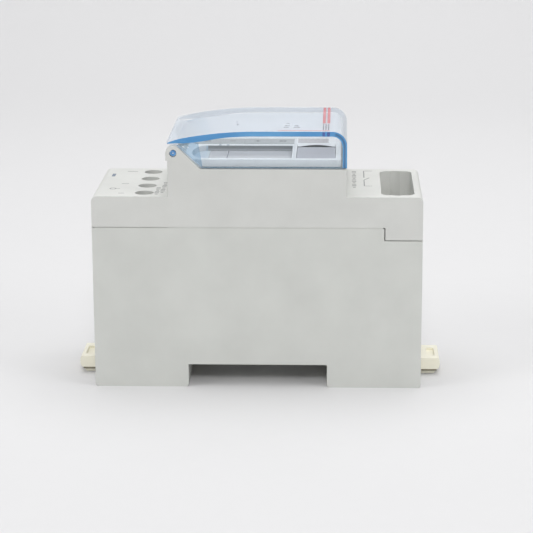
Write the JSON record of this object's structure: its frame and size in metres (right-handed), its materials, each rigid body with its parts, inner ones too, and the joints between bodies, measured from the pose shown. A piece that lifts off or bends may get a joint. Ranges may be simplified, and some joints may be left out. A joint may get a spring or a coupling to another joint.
{
  "type": "din rail timer",
  "caption": "Rail-mounted digital timer switch with a hinged clear lid over its display and keys, sprung rail clips and screw terminals at both ends.",
  "frame": {"origin": "middle of the rail seat, the face that lies on the mounting rail's flanges", "axes": "+Z away from the rail; +X along the body's length, away from the lid's hinge; +Y across the modules, along the rail"},
  "size_m": [0.0946, 0.035, 0.0668],
  "materials": {
    "lower_shell": "fine matt moulding, light warm grey",
    "upper_shell": "fine matt moulding, pale grey",
    "panel": "fine matt moulding, near white",
    "lid_clear": "clear moulding with a blue tint",
    "lens": "clear window, slightly smoked",
    "lcd_glass": "reflective grey liquid crystal cell",
    "light_guide": "white diffuser",
    "rubber": "silicone",
    "board": "solder mask, green",
    "key_cap": "satin moulding, lilac grey",
    "socket": "black moulding",
    "button": "satin moulding, light grey",
    "clip": "satin moulding, ivory",
    "screw_steel": "zinc plated",
    "cage_steel": "zinc plated pressing",
    "tongue_brass": "tinned brass strip",
    "relay_case": "dark blue case",
    "film_case": "yellow case",
    "can": "sleeved aluminium can",
    "cell": "satin steel",
    "varistor": "blue epoxy dip",
    "chip": "black epoxy",
    "resistor": "cement coating",
    "pins": "gold-flashed pins in a moulded bar"
  },
  "bodies": {
    "housing": {"base_housing": "lower_shell", "top_housing": "upper_shell", "front_panel": "panel", "display_lens": "lens", "lcd_panel": "lcd_glass", "lcd_light_guide": "light_guide", "zebra_strip": "rubber", "display_board": "board", "power_board": "board", "board_link_header": "pins", "button_mat": "rubber", "key_socket": "socket", "terminal_tongue_1": "tongue_brass", "terminal_tongue_2": "tongue_brass", "terminal_tongue_3": "tongue_brass", "terminal_tongue_4": "tongue_brass", "terminal_tongue_5": "tongue_brass", "terminal_tongue_6": "tongue_brass", "terminal_tongue_7": "tongue_brass", "terminal_tongue_8": "tongue_brass", "relay_1": "relay_case", "relay_2": "relay_case", "dropper_capacitor": "film_case", "smoothing_capacitor": "can", "varistor": "varistor", "fuse_resistor": "resistor", "cell_holder": "socket", "backup_cell": "cell", "microcontroller": "chip", "quartz_crystal": "cell"},
    "lid": {"lid": "lid_clear"},
    "menu_button": {"menu_button": "button"},
    "minus_button": {"minus_button": "button"},
    "plus_button": {"plus_button": "button"},
    "ok_button": {"ok_button": "button"},
    "programming_key": {"programming_key": "key_cap"},
    "rail_clip_right": {"rail_clip_right": "clip"},
    "rail_clip_left": {"rail_clip_left": "clip"},
    "terminal_screw_1": {"terminal_screw_1": "screw_steel"},
    "terminal_screw_2": {"terminal_screw_2": "screw_steel"},
    "terminal_screw_3": {"terminal_screw_3": "screw_steel"},
    "terminal_screw_4": {"terminal_screw_4": "screw_steel"},
    "terminal_screw_5": {"terminal_screw_5": "screw_steel"},
    "terminal_screw_6": {"terminal_screw_6": "screw_steel"},
    "terminal_screw_7": {"terminal_screw_7": "screw_steel"},
    "terminal_screw_8": {"terminal_screw_8": "screw_steel"},
    "terminal_cage_1": {"terminal_cage_1": "cage_steel"},
    "terminal_cage_2": {"terminal_cage_2": "cage_steel"},
    "terminal_cage_3": {"terminal_cage_3": "cage_steel"},
    "terminal_cage_4": {"terminal_cage_4": "cage_steel"},
    "terminal_cage_5": {"terminal_cage_5": "cage_steel"},
    "terminal_cage_6": {"terminal_cage_6": "cage_steel"},
    "terminal_cage_7": {"terminal_cage_7": "cage_steel"},
    "terminal_cage_8": {"terminal_cage_8": "cage_steel"}
  },
  "joints": [
    {"name": "lid_hinge", "type": "hinge", "parent": "housing", "child": "lid", "pos_m": [-0.02095, 0, 0.0552], "axis": [0, -1, 0], "range_deg": [0, 100]},
    {"name": "menu_button_press", "type": "slide", "parent": "housing", "child": "menu_button", "axis": [0, 0, -1], "range_m": [0, 0.0005], "stiffness_N_per_m": 600, "springref_m": -0.0003},
    {"name": "minus_button_press", "type": "slide", "parent": "housing", "child": "minus_button", "axis": [0, 0, -1], "range_m": [0, 0.0005], "stiffness_N_per_m": 600, "springref_m": -0.0003},
    {"name": "plus_button_press", "type": "slide", "parent": "housing", "child": "plus_button", "axis": [0, 0, -1], "range_m": [0, 0.0005], "stiffness_N_per_m": 600, "springref_m": -0.0003},
    {"name": "ok_button_press", "type": "slide", "parent": "housing", "child": "ok_button", "axis": [0, 0, -1], "range_m": [0, 0.0005], "stiffness_N_per_m": 600, "springref_m": -0.0003},
    {"name": "programming_key_pull", "type": "slide", "parent": "housing", "child": "programming_key", "axis": [0, 0, 1], "range_m": [0, 0.0058]},
    {"name": "rail_clip_right_slide", "type": "slide", "parent": "housing", "child": "rail_clip_right", "axis": [1, 0, 0], "range_m": [0, 0.0025], "stiffness_N_per_m": 1500, "springref_m": -0.0005},
    {"name": "rail_clip_left_slide", "type": "slide", "parent": "housing", "child": "rail_clip_left", "axis": [-1, 0, 0], "range_m": [0, 0.0025], "stiffness_N_per_m": 1500, "springref_m": -0.0005},
    {"name": "terminal_1_turn", "type": "hinge", "parent": "housing", "child": "terminal_screw_1", "pos_m": [-0.02875, -0.0129, 0.034], "axis": [0, 0, -1], "range_deg": [0, 2160]},
    {"name": "terminal_1_clamp", "type": "slide", "parent": "housing", "child": "terminal_cage_1", "axis": [0, 0, 1], "range_m": [0, 0.0042]},
    {"name": "terminal_2_turn", "type": "hinge", "parent": "housing", "child": "terminal_screw_2", "pos_m": [-0.02875, -0.0043, 0.034], "axis": [0, 0, -1], "range_deg": [0, 2160]},
    {"name": "terminal_2_clamp", "type": "slide", "parent": "housing", "child": "terminal_cage_2", "axis": [0, 0, 1], "range_m": [0, 0.0042]},
    {"name": "terminal_3_turn", "type": "hinge", "parent": "housing", "child": "terminal_screw_3", "pos_m": [-0.02875, 0.0043, 0.034], "axis": [0, 0, -1], "range_deg": [0, 2160]},
    {"name": "terminal_3_clamp", "type": "slide", "parent": "housing", "child": "terminal_cage_3", "axis": [0, 0, 1], "range_m": [0, 0.0042]},
    {"name": "terminal_4_turn", "type": "hinge", "parent": "housing", "child": "terminal_screw_4", "pos_m": [-0.02875, 0.0129, 0.034], "axis": [0, 0, -1], "range_deg": [0, 2160]},
    {"name": "terminal_4_clamp", "type": "slide", "parent": "housing", "child": "terminal_cage_4", "axis": [0, 0, 1], "range_m": [0, 0.0042]},
    {"name": "terminal_5_turn", "type": "hinge", "parent": "housing", "child": "terminal_screw_5", "pos_m": [0.0356, -0.0129, 0.034], "axis": [0, 0, -1], "range_deg": [0, 2160]},
    {"name": "terminal_5_clamp", "type": "slide", "parent": "housing", "child": "terminal_cage_5", "axis": [0, 0, 1], "range_m": [0, 0.0042]},
    {"name": "terminal_6_turn", "type": "hinge", "parent": "housing", "child": "terminal_screw_6", "pos_m": [0.0356, -0.0043, 0.034], "axis": [0, 0, -1], "range_deg": [0, 2160]},
    {"name": "terminal_6_clamp", "type": "slide", "parent": "housing", "child": "terminal_cage_6", "axis": [0, 0, 1], "range_m": [0, 0.0042]},
    {"name": "terminal_7_turn", "type": "hinge", "parent": "housing", "child": "terminal_screw_7", "pos_m": [0.0356, 0.0043, 0.034], "axis": [0, 0, -1], "range_deg": [0, 2160]},
    {"name": "terminal_7_clamp", "type": "slide", "parent": "housing", "child": "terminal_cage_7", "axis": [0, 0, 1], "range_m": [0, 0.0042]},
    {"name": "terminal_8_turn", "type": "hinge", "parent": "housing", "child": "terminal_screw_8", "pos_m": [0.0356, 0.0129, 0.034], "axis": [0, 0, -1], "range_deg": [0, 2160]},
    {"name": "terminal_8_clamp", "type": "slide", "parent": "housing", "child": "terminal_cage_8", "axis": [0, 0, 1], "range_m": [0, 0.0042]}
  ],
  "couplings": [
    {"joint": "terminal_1_turn", "follows": "terminal_1_clamp", "rad_per_m": 8975.9},
    {"joint": "terminal_2_turn", "follows": "terminal_2_clamp", "rad_per_m": 8975.9},
    {"joint": "terminal_3_turn", "follows": "terminal_3_clamp", "rad_per_m": 8975.9},
    {"joint": "terminal_4_turn", "follows": "terminal_4_clamp", "rad_per_m": 8975.9},
    {"joint": "terminal_5_turn", "follows": "terminal_5_clamp", "rad_per_m": 8975.9},
    {"joint": "terminal_6_turn", "follows": "terminal_6_clamp", "rad_per_m": 8975.9},
    {"joint": "terminal_7_turn", "follows": "terminal_7_clamp", "rad_per_m": 8975.9},
    {"joint": "terminal_8_turn", "follows": "terminal_8_clamp", "rad_per_m": 8975.9}
  ]
}
